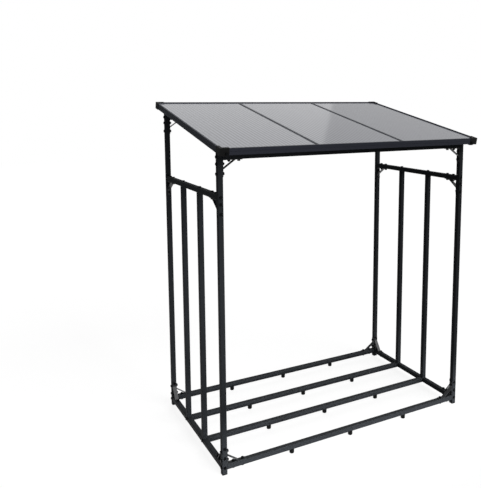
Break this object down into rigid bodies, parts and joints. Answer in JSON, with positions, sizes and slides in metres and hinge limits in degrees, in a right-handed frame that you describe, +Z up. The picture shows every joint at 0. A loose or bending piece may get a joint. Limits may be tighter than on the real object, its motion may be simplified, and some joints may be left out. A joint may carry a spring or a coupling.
{
  "type": "firewood log rack",
  "caption": "Freestanding outdoor log rack: bolted square-tube frame with slatted floor, barred open sides and a sloping roof of fluted twin-wall panels.",
  "frame": {"origin": "on the ground, at the centre of the rectangle of the four posts", "axes": "+Z up, +X to the right seen from the front, front (the low side of the roof) at -Y"},
  "size_m": [1.464, 0.9519, 1.7116],
  "materials": {
    "coated_steel": "satin anthracite powder coat",
    "brace_steel": "satin anthracite powder coat",
    "bolt_steel": "black zinc",
    "roof_profile": "satin dark grey coating",
    "twin_wall_panel": "smoke grey, semi-gloss, fluted",
    "black_plastic": "moulded, matt"
  },
  "bodies": {
    "root": {"brace_bolts": "bolt_steel", "brace_floor_beam_front_left": "brace_steel", "brace_floor_beam_front_right": "brace_steel", "brace_floor_beam_rear_left": "brace_steel", "brace_floor_beam_rear_right": "brace_steel", "brace_floor_rail_front_left": "brace_steel", "brace_floor_rail_front_right": "brace_steel", "brace_floor_rail_rear_left": "brace_steel", "brace_floor_rail_rear_right": "brace_steel", "brace_side_rail_front_left": "brace_steel", "brace_side_rail_front_right": "brace_steel", "brace_side_rail_rear_left": "brace_steel", "brace_side_rail_rear_right": "brace_steel", "brace_top_beam_front_left": "brace_steel", "brace_top_beam_front_right": "brace_steel", "brace_top_beam_rear_left": "brace_steel", "brace_top_beam_rear_right": "brace_steel", "corner_cap_front_left": "black_plastic", "corner_cap_front_right": "black_plastic", "corner_cap_rear_left": "black_plastic", "corner_cap_rear_right": "black_plastic", "fascia_front": "roof_profile", "fascia_rear": "roof_profile", "fascia_screws": "bolt_steel", "floor_beam_left": "coated_steel", "floor_beam_right": "coated_steel", "floor_rail_front": "coated_steel", "floor_rail_middle_front": "coated_steel", "floor_rail_middle_rear": "coated_steel", "floor_rail_rear": "coated_steel", "insert_bolts": "bolt_steel", "joint_strip_left": "roof_profile", "joint_strip_right": "roof_profile", "post_feet": "black_plastic", "post_front_left": "coated_steel", "post_front_right": "coated_steel", "post_rear_left": "coated_steel", "post_rear_right": "coated_steel", "rafter_left": "coated_steel", "rafter_right": "coated_steel", "rafter_spigots": "coated_steel", "roof_panel_left": "twin_wall_panel", "roof_panel_middle": "twin_wall_panel", "roof_panel_right": "twin_wall_panel", "side_profile_left": "roof_profile", "side_profile_right": "roof_profile", "side_rail_left": "coated_steel", "side_rail_right": "coated_steel", "support_feet": "black_plastic", "top_beam_front": "coated_steel", "top_beam_rear": "coated_steel", "tube_inserts": "black_plastic", "upright_front_left": "coated_steel", "upright_front_right": "coated_steel", "upright_rear_left": "coated_steel", "upright_rear_right": "coated_steel", "upright_spigots": "coated_steel"}
  },
  "joints": []
}
